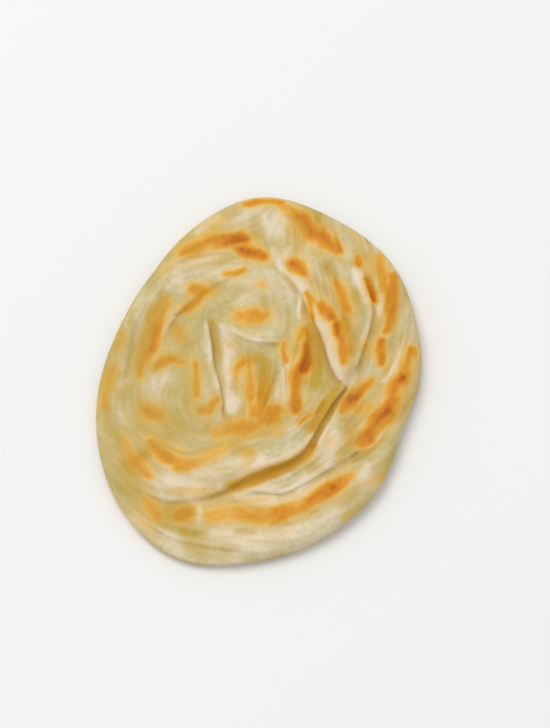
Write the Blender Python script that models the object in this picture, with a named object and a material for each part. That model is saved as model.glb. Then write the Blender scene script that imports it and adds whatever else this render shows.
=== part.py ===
"""A layered flatbread, lying flat: one round of pleated dough, coiled, flattened and toasted on a griddle.

Metres, +Z up. The origin is under the middle of the bread, on the surface that it rests on. +Y is its long
way. The bread is one solid: a flat blank with a rounded rim, on which each layer of dough that lies over the
next is a fold, each narrow crease or roll is a pleat, and each soft swelling is a puff.
Tables of the bread's own features are in millimetres.
"""

import math
from typing import NamedTuple

import bmesh
import bpy
import numpy as np
from mathutils import Vector, noise

MM = 0.001

# Driving dimensions, in metres
WIDTH = 0.150
LENGTH = 0.180

# The outline and the rim, in millimetres, with a value for each sixteenth of a turn from +X
OUTLINE_RADII = (74, 78, 84, 86.5, 89.5, 80, 71, 68.6, 72, 79, 87.5, 93.5, 87.5, 82, 77, 70.7)
RIM_HEIGHTS = (9.0, 9.5, 9.5, 9.5, 9.5, 9.0, 8.5, 8.0, 7.5, 6.5, 5.8, 5.5, 7.2, 8.8, 9.0, 9.0)
EDGE_LIFTS = (2.2, 1.8, 1.2, 1.0, 0.7, 0.5, 0.8, 1.2, 1.0, 0.5, 0.2, 0.1, 0.3, 0.8, 1.4, 2.0)
LIFT_REACH = 22.0
WIDEST_AT = 3.8
RIM_REACH = 9.0
FOOT_REACH = 5.5
MIDDLE_HEIGHT = 9.5
MIDDLE_REACH = 45.0
SOFT_WAVE = 0.45
SOFT_WAVE_LENGTH = 17.0
SOFT_WAVE_SLICE = 3.7

# The mesh: rings of the dense blank, the share of them on the rounded rim, and the triangles kept
RINGS = 96
RIM_RINGS = 0.15
WELD = 1e-6
TRIANGLES = 10400
FLAT_WITHIN = 6e-5

# How a layer's edge rolls over the one under it: half the roll's width and the step along its path, in
# millimetres, then the share of the width left flat at each side and the dip in front, as a share of the rise
ROLL = 3.4
CURVE_STEP = 1.5
FLAT_SHARE = 0.2
DIP = 0.18


class Fold(NamedTuple):
    """An edge where a layer lies over the next. The upper layer is on the left, going along the path."""

    name: str
    path: tuple
    rise: float
    reach: float
    lip: float
    ends: tuple


class Pleat(NamedTuple):
    """A narrow roll of dough along a path or, where its height is negative, a crease."""

    name: str
    path: tuple
    height: float
    half_width: float
    ends: tuple


class Puff(NamedTuple):
    """A soft oval swelling or, where its height is negative, a hollow."""

    x: float
    y: float
    half_length: float
    half_width: float
    turn: float
    height: float


FOLDS = (
    Fold("foot_layer", ((-71, -35), (-62, -58), (-44, -73), (-22, -80.5), (0, -84.5), (18, -87.5)),
         4.2, 24, 2.0, (0.25, 0.16)),
    Fold("lower_ring", ((-68, -40), (-57, -53), (-42, -60.5), (-25, -60), (-8, -52.5), (10, -45), (24, -36),
                        (33, -18), (41, 0)), 3.8, 17, 2.3, (0.3, 0.12)),
    Fold("shoulder", ((-6, -56.5), (10, -57), (28, -48.5), (47, -41.5), (61, -27), (70, -6)),
         2.2, 12, 2.0, (0.12, 0.3)),
    Fold("right_edge", ((68, 26), (65, 10), (58.5, -1), (51, -10)), 1.8, 9, 1.8, (0.35, 0.35)),
    Fold("big_petal", ((-2, 60), (12, 53), (23, 35), (31, 14), (41, -3)), 4.0, 24, 2.4, (0.25, 0.12)),
    Fold("petal_back", ((42, -1), (50, 18), (52.5, 36), (48, 51), (41, 66)), 2.2, 11, 2.0, (0.15, 0.35)),
    Fold("upper_band", ((-47, 52), (-31, 63.5), (-12, 64.5), (6, 58.5)), 1.6, 11, 1.6, (0.3, 0.2)),
    Fold("left_band", ((-48, -8), (-46, 13), (-36, 32), (-18, 49.5), (5, 57)), 2.4, 14, 2.0, (0.35, 0.25)),
    Fold("centre_flap", ((-22, 29), (-8, 20), (6, 17), (15.5, 27), (17, 44)), 2.1, 18, 2.2, (0.2, 0.4)),
    Fold("straight_tuck", ((-15, -23), (-16.8, -9), (-21, 10), (-24, 30)), 2.2, 15, 1.6, (0.2, 0.12)),
    Fold("inner_ring", ((16, -26), (-6, -31), (-30, -39.5), (-47, -34.5), (-54, -24)), 1.3, 9, 1.2,
         (0.25, 0.3)),
)

PLEATS = (
    Pleat("lower_ring_gap", ((-15, -56.5), (0, -51), (17, -44)), -2.6, 3.0, (0.3, 0.4)),
    Pleat("petal_slit", ((49, 54), (53.4, 41), (53, 26)), -2.8, 3.2, (0.3, 0.35)),
    Pleat("right_roll", ((53, 65), (61.5, 47), (60, 29), (52, 8), (45, -6)), 2.0, 5.5, (0.2, 0.3)),
    Pleat("right_crease", ((66, 44), (68.5, 26)), -0.9, 2.6, (0.4, 0.4)),
    Pleat("middle_roll", ((9.3, 15.5), (10.5, 0), (13.5, -15)), 1.0, 2.6, (0.2, 0.3)),
    Pleat("toasted_roll", ((20.5, 29), (21.5, 14), (17, 0), (15.6, -14)), 1.8, 3.8, (0.25, 0.3)),
    Pleat("thin_roll_1", ((15, -29), (24, -19), (31, -4)), 0.8, 2.1, (0.3, 0.4)),
    Pleat("thin_roll_2", ((20, -33), (28, -21), (35, -5)), 0.7, 1.8, (0.3, 0.4)),
    Pleat("ring_crest", ((-57, -30), (-40, -47), (-16, -48), (6, -38), (23, -25)), 1.2, 8.5, (0.25, 0.3)),
    Pleat("rim_crest", ((-31, -66), (-5, -66), (20, -63), (45, -45)), 1.6, 7.0, (0.25, 0.3)),
    Pleat("left_groove", ((-44, 46), (-56, 22), (-60, -12)), -0.8, 2.4, (0.25, 0.35)),
    Pleat("petal_root", ((5, 59), (15.5, 69), (12, 79), (4, 82.5)), 0.9, 2.6, (0.2, 0.4)),
    Pleat("top_groove", ((-58, 36), (-36, 64), (0, 82)), -0.6, 2.2, (0.3, 0.3)),
)

PUFFS = (
    Puff(1, 40, 19, 16, 75, 1.0),
    Puff(30, 52, 24, 11, 120, 1.2),
    Puff(24, 72, 20, 9, 145, 0.8),
    Puff(-33, 4, 26, 12, 80, 0.7),
    Puff(-60, 2, 34, 9, 88, 0.7),
    Puff(-24, 74, 20, 8, 35, 0.9),
    Puff(-2, 0, 15, 9, 90, -1.3),
    Puff(28, 6, 14, 6, 115, -1.2),
    Puff(52, -22, 22, 8, 50, 0.9),
    Puff(22, -73, 26, 8, 15, 0.7),
    Puff(38, 20, 22, 7, 110, 0.8),
)

# Grooves round the side, where the edges of stacked layers show: middle height, wave and depth, in millimetres
SIDE_GROOVES = ((5.8, 1.1, 0.9), (2.6, 0.6, 0.6))
SIDE_GROOVE_HALF = 0.9

# The underside's coil: a shallow spiral groove outside a flat middle, in millimetres
COIL_START = 24.0
COIL_TURNS = 2.4
COIL_END = 66.0
COIL_DEPTH = 0.9
COIL_HALF = 2.4
COIL_STEPS = 90
COIL_ENDS = (0.1, 0.2)

DOUGH_COLOUR = (0.80, 0.66, 0.42, 1.0)
DOUGH_ROUGHNESS = 0.48


def smooth(share):
    """An S-shaped ramp from 0 to 1 as the share goes from 0 to 1."""
    held = np.clip(share, 0.0, 1.0)
    return held * held * (3.0 - 2.0 * held)


def round_table(values, angle):
    """A table of evenly spaced values round the bread, read at each angle along a smooth closed curve."""
    values = np.asarray(values, float)
    place = (angle / math.tau) % 1.0 * len(values)
    first = np.floor(place).astype(int)
    share = place - first
    before, here, after, beyond = (values[(first + k) % len(values)] for k in (-1, 0, 1, 2))
    return here + 0.5 * share * (
        after - before
        + share * (2 * before - 5 * here + 4 * after - beyond + share * (3 * (here - after) + beyond - before))
    )


def curve_through(points):
    """Points about every CURVE_STEP along a smooth curve through the given ones."""
    p = np.asarray(points, float)
    p = np.vstack([2 * p[0] - p[1], p, 2 * p[-1] - p[-2]])
    spans = []
    for before, here, after, beyond in zip(p[:-3], p[1:-2], p[2:-1], p[3:]):
        steps = max(2, math.ceil(np.linalg.norm(after - here) / CURVE_STEP))
        share = np.linspace(0, 1, steps, endpoint=False)[:, None]
        spans.append(
            here + 0.5 * share * (
                after - before
                + share * (2 * before - 5 * here + 4 * after - beyond
                           + share * (3 * (here - after) + beyond - before))
            )
        )
    return np.vstack([*spans, p[-2:-1]])


def beside(curve, at, within):
    """Which points lie within that distance of the curve, and for each of them its distance from it, positive
    on the left, its share of the way along it, and the direction to the left there."""
    low, high = curve.min(0) - within, curve.max(0) + within
    near = np.flatnonzero(((at > low) & (at < high)).all(1))
    along = np.gradient(curve, axis=0)
    along /= np.linalg.norm(along, axis=1)[:, None]
    left = np.column_stack([-along[:, 1], along[:, 0]])
    best = np.full(len(near), np.inf)
    offset = np.zeros(len(near))
    place = np.zeros(len(near))
    toward = np.zeros((len(near), 2))
    for i in range(len(curve) - 1):
        span = curve[i + 1] - curve[i]
        share = np.clip((at[near] - curve[i]) @ span / (span @ span), 0, 1)
        away = at[near] - curve[i] - share[:, None] * span
        distance = np.linalg.norm(away, axis=1)
        closer = distance < best
        best[closer] = distance[closer]
        side = left[i] * (1 - share[closer, None]) + left[i + 1] * share[closer, None]
        toward[closer] = side
        offset[closer] = np.copysign(distance[closer], (away[closer] * side).sum(1))
        place[closer] = (i + share[closer]) / (len(curve) - 1)
    kept = best < within
    return near[kept], offset[kept], place[kept], toward[kept]


def fading(place, ends):
    """1 along a path, easing to 0 over a share of it at each end."""
    return smooth(place / ends[0]) * smooth((1 - place) / ends[1])


def add_fold(fold, at, moved):
    """Raises the upper layer along its edge and rolls that edge out over the layer below."""
    near, offset, place, toward = beside(curve_through(fold.path), at, fold.reach + 2 * ROLL)
    size = fading(place, fold.ends)
    turn = np.clip((offset + ROLL) / (2 * ROLL), 0, 1)
    climb = smooth((turn - FLAT_SHARE) / (1 - 2 * FLAT_SHARE)) * (1 - smooth((offset - ROLL) / fold.reach))
    dip = DIP * np.exp(-((offset / ROLL + 1) ** 2))
    moved[near, 2] += size * fold.rise * (climb - dip)
    moved[near, :2] += (size * fold.lip * np.sin(math.tau * turn))[:, None] * toward


def add_pleat(pleat, at, moved):
    """Raises a rounded roll along its path, or sinks a crease."""
    near, offset, place, _ = beside(curve_through(pleat.path), at, pleat.half_width)
    round_top = (1 - (offset / pleat.half_width) ** 2) ** 2
    moved[near, 2] += pleat.height * fading(place, pleat.ends) * round_top


def add_puff(puff, at, moved):
    """Raises a soft oval."""
    angle = math.radians(puff.turn)
    x, y = at[:, 0] - puff.x, at[:, 1] - puff.y
    far = ((x * math.cos(angle) + y * math.sin(angle)) / puff.half_length) ** 2
    far += ((y * math.cos(angle) - x * math.sin(angle)) / puff.half_width) ** 2
    moved[:, 2] += puff.height * np.exp(-far)


def soft_wave(at):
    """The slow unevenness of hand-flattened dough."""
    spots = at / SOFT_WAVE_LENGTH
    return SOFT_WAVE * np.array([noise.noise(Vector((x, y, SOFT_WAVE_SLICE))) for x, y in spots])


def as_rings(square):
    """Lays the points of a square grid out as rings: each one's share of the way from the middle to the edge,
    and its angle."""
    across, up = square.T
    share = np.maximum(np.abs(across), np.abs(up))
    wide = np.abs(across) >= np.abs(up)
    larger = np.where(wide, across, up)
    smaller = np.where(wide, up, across)
    slant = math.pi / 4 * smaller / np.where(larger == 0, 1, larger)
    angle = np.where(wide, slant, math.pi / 2 - slant) + np.where(larger < 0, math.pi, 0)
    return np.minimum(share, 1), angle % math.tau


def rim_place(share, radius, reach):
    """How far each ring lies from the middle, and the rise round the rim there, from 0 at the widest line to 1.
    The outer rings are spaced evenly round the rim's curve."""
    flat = 1 - RIM_RINGS
    bend = math.pi / 2 * np.clip((1 - share) / RIM_RINGS, 0, 1)
    inner = share / flat * (radius - reach)
    outer = radius - reach * (1 - np.cos(bend))
    return np.where(share <= flat, inner, outer), np.where(share <= flat, 1.0, np.sin(bend))


def edge_lift(radius, distance, angle):
    """How far the edge curls up off the surface that the bread rests on."""
    return round_table(EDGE_LIFTS, angle) * smooth(1 - (radius - distance) / LIFT_REACH)


def top_sheet(share, angle):
    """The upper surface, with its folds, pleats and puffs."""
    radius = round_table(OUTLINE_RADII, angle)
    distance, rise = rim_place(share, radius, RIM_REACH)
    at = np.column_stack([distance * np.cos(angle), distance * np.sin(angle)])
    moved = np.zeros((len(at), 3))
    for fold in FOLDS:
        add_fold(fold, at, moved)
    for pleat in PLEATS:
        add_pleat(pleat, at, moved)
    for puff in PUFFS:
        add_puff(puff, at, moved)
    moved[:, 2] += soft_wave(at)
    inward = smooth((radius - distance - RIM_REACH) / MIDDLE_REACH)
    level = MIDDLE_HEIGHT * inward + round_table(RIM_HEIGHTS, angle) * (1 - inward)
    height = WIDEST_AT + rise * (level - WIDEST_AT) + edge_lift(radius, distance, angle)
    return np.column_stack([at, height]) + rise[:, None] * moved


def coil_path():
    """The underside's spiral, from its flat middle outwards."""
    turned = np.linspace(0, COIL_TURNS * math.tau, COIL_STEPS)
    distance = np.linspace(COIL_START, COIL_END, COIL_STEPS)
    return np.column_stack([distance * np.cos(turned), distance * np.sin(turned)])


def under_sheet(share, angle):
    """The underside: flat where the bread rests, with the coil's groove and a rounded edge."""
    radius = round_table(OUTLINE_RADII, angle)
    distance, rise = rim_place(share, radius, FOOT_REACH)
    at = np.column_stack([distance * np.cos(angle), distance * np.sin(angle)])
    near, offset, place, _ = beside(coil_path(), at, COIL_HALF)
    height = WIDEST_AT * (1 - rise) + edge_lift(radius, distance, angle)
    height[near] += COIL_DEPTH * fading(place, COIL_ENDS) * (1 - (offset / COIL_HALF) ** 2) ** 2
    return np.column_stack([at, height])


def groove_side(points, angle, edge_share):
    """Draws the side in along the lines between stacked layers."""
    outward = np.column_stack([np.cos(angle), np.sin(angle)])
    for k, (middle, wave, depth) in enumerate(SIDE_GROOVES):
        line = middle + wave * np.sin(2 * angle + 1.3 * k) + 0.5 * wave * np.sin(5 * angle + 2.1 * k)
        pull = depth * np.exp(-(((points[:, 2] - line) / SIDE_GROOVE_HALF) ** 2)) * edge_share
        points[:, :2] -= pull[:, None] * outward


def fitted(points):
    """The points in metres, stretched to the bread's width and length and centred over the origin."""
    low, high = points.min(0), points.max(0)
    middle = (low + high) / 2
    scale = np.array([WIDTH, LENGTH]) / (high - low)[:2]
    return np.column_stack([(points[:, :2] - middle[:2]) * scale, (points[:, 2] - low[2]) * MM])


def bread_mesh():
    """The closed, dense mesh of the bread: two square grids, shaped as its upper surface and its underside and
    welded along the widest line."""
    body = bmesh.new()
    upper, under = (
        bmesh.ops.create_grid(body, x_segments=2 * RINGS, y_segments=2 * RINGS, size=1)["verts"] for _ in range(2)
    )
    bmesh.ops.reverse_faces(body, faces=list({face for vertex in under for face in vertex.link_faces}))
    share, angle = as_rings(np.array([vertex.co[:2] for vertex in upper]))
    points = np.vstack([top_sheet(share, angle), under_sheet(share, angle)])
    groove_side(points, np.tile(angle, 2), np.tile(smooth((share - 1 + 2 * RIM_RINGS) / RIM_RINGS), 2))
    for vertex, point in zip(upper + under, fitted(points)):
        vertex.co = point
    bmesh.ops.remove_doubles(body, verts=body.verts, dist=WELD)
    mesh = bpy.data.meshes.new("flatbread")
    body.to_mesh(mesh)
    body.free()
    return mesh


def dough_material():
    """Pale toasted dough."""
    material = bpy.data.materials.new("toasted_dough")
    material.use_nodes = True
    shader = material.node_tree.nodes["Principled BSDF"]
    shader.inputs["Base Color"].default_value = DOUGH_COLOUR
    shader.inputs["Roughness"].default_value = DOUGH_ROUGHNESS
    shader.inputs["Metallic"].default_value = 0.0
    return material


def make_flatbread(collection):
    """The bread's one solid, thinned so that its triangles gather along the folds, and set flat on its foot."""
    dense = bread_mesh()
    bread = bpy.data.objects.new("flatbread", dense)
    collection.objects.link(bread)
    thin = bread.modifiers.new("thin", "DECIMATE")
    thin.ratio = TRIANGLES / (2 * len(dense.polygons))
    bread.data = bpy.data.meshes.new_from_object(bread.evaluated_get(bpy.context.evaluated_depsgraph_get()))
    bread.modifiers.clear()
    for vertex in bread.data.vertices:
        if vertex.co.z < FLAT_WITHIN:
            vertex.co.z = 0
    bread.data.materials.append(dough_material())
    bread.data.shade_smooth()


def main():
    """Clears the scene and makes the bread."""
    for old in list(bpy.data.objects):
        bpy.data.objects.remove(old)
    collection = bpy.data.collections.new("layered_flatbread")
    bpy.context.scene.collection.children.link(collection)
    make_flatbread(collection)


main()
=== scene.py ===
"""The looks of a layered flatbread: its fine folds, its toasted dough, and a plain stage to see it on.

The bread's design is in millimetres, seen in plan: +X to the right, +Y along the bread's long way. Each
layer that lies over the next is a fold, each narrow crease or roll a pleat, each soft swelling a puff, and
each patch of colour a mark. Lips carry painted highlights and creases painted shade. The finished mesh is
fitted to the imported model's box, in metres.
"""

import math
from typing import NamedTuple

import bmesh
import bpy
import numpy as np
from bpy.props import FloatProperty, FloatVectorProperty, PointerProperty
from mathutils import Matrix, Vector, noise


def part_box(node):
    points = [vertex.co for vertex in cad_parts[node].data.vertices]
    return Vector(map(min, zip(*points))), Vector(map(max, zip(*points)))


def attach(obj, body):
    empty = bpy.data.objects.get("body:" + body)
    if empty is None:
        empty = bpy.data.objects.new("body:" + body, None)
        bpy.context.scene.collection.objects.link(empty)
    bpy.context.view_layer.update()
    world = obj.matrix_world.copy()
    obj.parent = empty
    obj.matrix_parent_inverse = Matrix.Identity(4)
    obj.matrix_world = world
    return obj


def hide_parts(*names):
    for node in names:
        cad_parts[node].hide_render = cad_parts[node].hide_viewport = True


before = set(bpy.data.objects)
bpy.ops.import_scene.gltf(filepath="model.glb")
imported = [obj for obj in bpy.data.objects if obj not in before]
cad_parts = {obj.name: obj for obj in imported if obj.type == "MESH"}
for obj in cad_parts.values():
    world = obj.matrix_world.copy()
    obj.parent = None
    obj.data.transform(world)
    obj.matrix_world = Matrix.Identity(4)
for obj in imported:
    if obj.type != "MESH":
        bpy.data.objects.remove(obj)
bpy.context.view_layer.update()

bl_info = {
    "name": "Layered Flatbread",
    "version": (1, 0, 0),
    "blender": (4, 5, 0),
    "location": "3D View > Sidebar > Flatbread",
    "description": "Makes one coiled, layered and toasted flatbread, and a plain stage to see it on",
    "category": "Add Mesh",
}

MM = 0.001
NODE = "flatbread"
BODY = "root"

# The outline and the rim, in millimetres, with a value for each sixteenth of a turn from +X
OUTLINE_RADII = (74, 78, 84, 86.5, 89.5, 80, 71, 68.6, 72, 79, 87.5, 93.5, 87.5, 82, 77, 70.7)
RIM_HEIGHTS = (9.0, 9.5, 9.5, 9.5, 9.5, 9.0, 8.5, 8.0, 7.5, 6.5, 5.8, 5.5, 7.2, 8.8, 9.0, 9.0)
EDGE_LIFTS = (2.2, 1.8, 1.2, 1.0, 0.7, 0.5, 0.8, 1.2, 1.0, 0.5, 0.2, 0.1, 0.3, 0.8, 1.4, 2.0)
LIFT_REACH = 22.0
WIDEST_AT = 3.8
RIM_REACH = 9.0
FOOT_REACH = 5.5
MIDDLE_HEIGHT = 9.5
MIDDLE_REACH = 45.0
SOFT_WAVE = 0.45
SOFT_WAVE_LENGTH = 17.0
SOFT_WAVE_SLICE = 3.7

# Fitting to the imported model's height: the body's share of it, and how sharply the highest folds rise
BODY_SHARE = 0.87
PEAK_POWER = 7

# The mesh: rings of points in the upper surface and in the underside, and the share of them that lies on
# the rounded rim
TOP_RINGS = 132
UNDER_RINGS = 66
RIM_RINGS = 0.15

# How a layer's edge rolls over the one under it: the step along its path, in millimetres, then the share of
# the roll's width left flat at each side and the dip in front, as a share of the rise
CURVE_STEP = 2.0
FLAT_SHARE = 0.2
DIP = 0.18

# Where the lips' painted highlight and the creases' painted shade show in the colour: the rise that shows
# them fully, in millimetres, their places in rolls from a fold's edge, how narrow each is, and the strength
# of a pleat 1 mm high
FULL_RISE = 1.5
LIP_HIGHLIGHT_PLACE = 0.7
LIP_HIGHLIGHT_NARROW = 1.6
CREASE_SHADE_PLACE = -0.55
CREASE_SHADE_NARROW = 1.8
PLEAT_SHOWN = 0.4


class Fold(NamedTuple):
    """An edge where a layer lies over the next. The upper layer is on the left, going along the path."""

    path: tuple
    rise: float
    reach: float
    lip: float
    ends: tuple
    roll: float = 3.4


class Pleat(NamedTuple):
    """A narrow roll of dough along a path or, where its height is negative, a crease."""

    path: tuple
    height: float
    half_width: float
    ends: tuple = (0.3, 0.3)


class Puff(NamedTuple):
    """A soft oval swelling or, where its height is negative, a hollow."""

    x: float
    y: float
    half_length: float
    half_width: float
    turn: float
    height: float


class Mark(NamedTuple):
    """A patch of colour along a short path: half its width, and its strength at its start and its end."""

    path: tuple
    half_width: float
    start: float
    end: float


def marks_from(*rows):
    """Marks, from rows that each hold one mark's values."""
    return tuple(Mark(*row) for row in rows)


# The bread's folds, pleats and puffs, in plan and in millimetres
FOLDS = {
    "foot_layer": Fold(((-60, -62.5), (-47.5, -72.5), (-36, -78), (-19, -82), (-8, -83.5), (4, -86)),
                       0.65, 20, 0.15, (0.3, 0.3), 2.2),
    "ring_edge": Fold(((-62, -46), (-55, -52.5), (-49, -57), (-38, -60), (-26, -60)),
                      0.5, 12, 0.2, (0.35, 0.3), 2.0),
    "lower_ring": Fold(((-40, -58.5), (-27, -59.2), (-15, -55.5), (-5, -50), (5, -45.5), (13, -42.8),
                        (20, -38), (24, -32)), 1.8, 17, 0.5, (0.4, 0.14), 2.2),
    "ring_side": Fold(((17, -40.3), (20, -38), (24.5, -31), (29.5, -21.5), (34.8, -13), (41.5, -4)),
                      1.5, 17, 0.4, (0.23, 0.1), 1.4),
    "shoulder": Fold(((-11.5, -54.5), (-1, -56), (10.5, -57), (17.5, -54.5), (28.5, -48), (39, -42),
                      (46, -39), (55, -32.5), (66, -14)), 0.8, 12, 0.4, (0.12, 0.3), 1.6),
    "right_edge": Fold(((67, 26.5), (65.5, 16), (60.5, 3), (53, -9)), 1.1, 9, 0.45, (0.35, 0.35), 1.8),
    "right_band": Fold(((60.5, -4.5), (56.5, -14), (48.5, -22), (39, -29.5), (30.5, -37)),
                       0.7, 7, 0.3, (0.35, 0.35), 1.6),
    "big_petal": Fold(((5, 55.5), (14, 47), (20, 37.5), (22.5, 31), (26.6, 23), (29.8, 14.5), (31.6, 8.5),
                       (33.4, 3), (36, -2), (41, -6.7)), 1.7, 22, 0.55, (0.25, 0.08), 2.2),
    "petal_back": Fold(((41.5, -6.5), (45.5, 4), (49.8, 17), (52.3, 27.5), (52.2, 35), (49, 48.5),
                        (41.5, 64)), 0.9, 11, 0.35, (0.2, 0.35), 2.2),
    "upper_band": Fold(((-50, 48), (-36.5, 55.5), (-21.5, 59), (-8.5, 58), (4.5, 56.5)),
                       0.6, 11, 0.25, (0.3, 0.2), 2.2),
    "left_band": Fold(((-48.5, -4), (-45, 8), (-40, 24.5), (-27.5, 37.5), (-14.5, 46.5), (4, 55)),
                      0.55, 14, 0.2, (0.5, 0.25), 2.2),
    "centre_flap": Fold(((-22.5, 27.5), (-14, 21.8), (-9, 19), (-4.5, 16.9), (1, 15.8), (9.5, 15.2),
                         (15, 16)), 0.7, 16, 0.3, (0.4, 0.2), 1.4),
    "straight_tuck": Fold(((-13.5, -25.5), (-16, -19), (-16.2, -12.5), (-18.2, -2.5), (-20.3, 6),
                           (-20.9, 14), (-22.7, 24.5), (-24, 29)), 1.3, 15, 0.45, (0.2, 0.15), 1.6),
    "inner_ring": Fold(((15.5, -29), (-3.5, -31), (-24, -38.5), (-38, -37), (-49.5, -28), (-54, -20.5)),
                       0.7, 9, 0.2, (0.25, 0.3), 2.6),
}

PLEATS = (
    Pleat(((-12, -55), (-4.1, -51.8), (6.9, -47), (18, -41.8), (23.5, -36.5)), -0.8, 3.4),
    Pleat(((22.3, -39), (25.9, -31.8), (30.7, -22.5), (36, -13.2), (41, -5.5)), -0.5, 1.4, (0.15, 0.1)),
    Pleat(((24.5, -39), (28.3, -31.5), (33, -22.5), (38, -13.5)), 0.5, 1.5, (0.2, 0.3)),
    Pleat(((19.1, 41), (19.1, 35), (18.5, 27.5)), 0.6, 1.4),
    Pleat(((49.5, 49.5), (51.5, 43), (53.2, 35)), -2.4, 2.0),
    Pleat(((9.5, 3.5), (4.5, -10.5), (-0.5, -20.5)), -0.8, 1.4),
    Pleat(((9.5, -8), (4, -18.5)), -0.6, 1.2),
    Pleat(((-3, 14.6), (3.5, 13.2), (11, 13.8)), -0.6, 1.7, (0.4, 0.2)),
    Pleat(((12, 5.5), (11.5, -10.5)), 0.6, 1.4),
    Pleat(((15.5, -25.5), (22, -18.5), (25.5, -17)), -0.6, 1.1),
    Pleat(((20.5, -26), (26.5, -18.5)), -0.6, 1.1),
    Pleat(((-8, 65), (-3, 68), (3.5, 63.5)), -0.5, 1.5),
    Pleat(((-52, -55), (-47, -58.7), (-42, -60.5), (-34, -60.8), (-26, -60)), -0.9, 1.3, (0.2, 0.3)),
    Pleat(((-58, -65), (-42.5, -75.5), (-19, -82.8), (0, -85)), -0.4, 1.3, (0.2, 0.3)),
    Pleat(((-38.5, 28), (-34.5, 31.5)), -1.2, 1.6),
    Pleat(((10.5, -30), (17, -32), (24, -34.5)), -0.5, 1.2),
    Pleat(((29, -46.5), (42.5, -39.5), (49, -34.5)), -0.6, 1.1),
    Pleat(((58, 63), (62, 47.5), (60.5, 30.5), (56, 14.5), (49, 1.5)), 2.0, 5.5, (0.2, 0.3)),
    Pleat(((60.5, 57), (61, 41.5)), -0.9, 1.3, (0.3, 0.4)),
    Pleat(((70.5, 33), (71, 17)), -0.7, 2.0, (0.4, 0.4)),
    Pleat(((10, 14.5), (10.5, 2.5), (13, -18)), 1.0, 2.4, (0.2, 0.3)),
    Pleat(((20.5, 27.5), (20, 12.5), (16.5, 0), (16, -18)), 1.9, 3.6, (0.25, 0.3)),
    Pleat(((14.5, -30.5), (24.5, -21), (31.5, -7.5)), 0.8, 1.9, (0.3, 0.4)),
    Pleat(((20.5, -35.5), (29, -24), (36, -8.5)), 0.8, 1.8, (0.3, 0.4)),
    Pleat(((2.5, 8), (1.5, -4), (0, -18)), -0.8, 1.8, (0.3, 0.4)),
    Pleat(((-6.5, 6), (-7.5, -8), (-8, -20)), 0.6, 2.4, (0.3, 0.4)),
    Pleat(((-53.5, -30.5), (-40, -45), (-19.5, -48.5), (0, -43), (19, -32)), 1.2, 8.5, (0.25, 0.3)),
    Pleat(((-28.5, -66), (-8, -67.5), (14.5, -65.5), (39, -49.5)), 1.6, 7.0, (0.25, 0.3)),
    Pleat(((-47, 42), (-55, 23), (-58.5, 5.5), (-59, -11.5)), -0.9, 2.2, (0.25, 0.35)),
    Pleat(((-52, 47), (-63, 22), (-67, 0)), -0.5, 1.6, (0.25, 0.35)),
    Pleat(((5.5, 55), (6.5, 66), (10, 76.5)), -0.7, 1.8),
    Pleat(((12.5, 79), (17.5, 72), (17, 61)), -0.8, 1.8),
    Pleat(((-36, 47), (-22.5, 48.5)), -0.7, 1.6),
    Pleat(((39.5, -41), (45, -38.5), (51, -36.5)), -0.9, 1.3),
    Pleat(((12, -50.5), (22, -46), (33, -37)), -0.6, 1.6),
    Pleat(((-72, -40), (-57, -62)), -0.7, 1.8, (0.3, 0.4)),
    Pleat(((-58, 36), (-36, 64), (0, 82)), -0.6, 2.2),
)

PUFFS = (
    Puff(1, 40, 19, 16, 75, 1.0),
    Puff(30, 52, 24, 11, 120, 1.2),
    Puff(24, 72, 20, 9, 145, 0.8),
    Puff(-33, 4, 26, 12, 80, 0.7),
    Puff(-60, 2, 34, 9, 88, 0.7),
    Puff(-24, 74, 20, 8, 35, 0.9),
    Puff(-2, 0, 15, 9, 90, -1.3),
    Puff(28, 6, 14, 6, 115, -1.2),
    Puff(52, -22, 22, 8, 50, 0.9),
    Puff(22, -73, 26, 8, 15, 0.7),
    Puff(38, 20, 22, 7, 110, 0.8),
)
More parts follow.
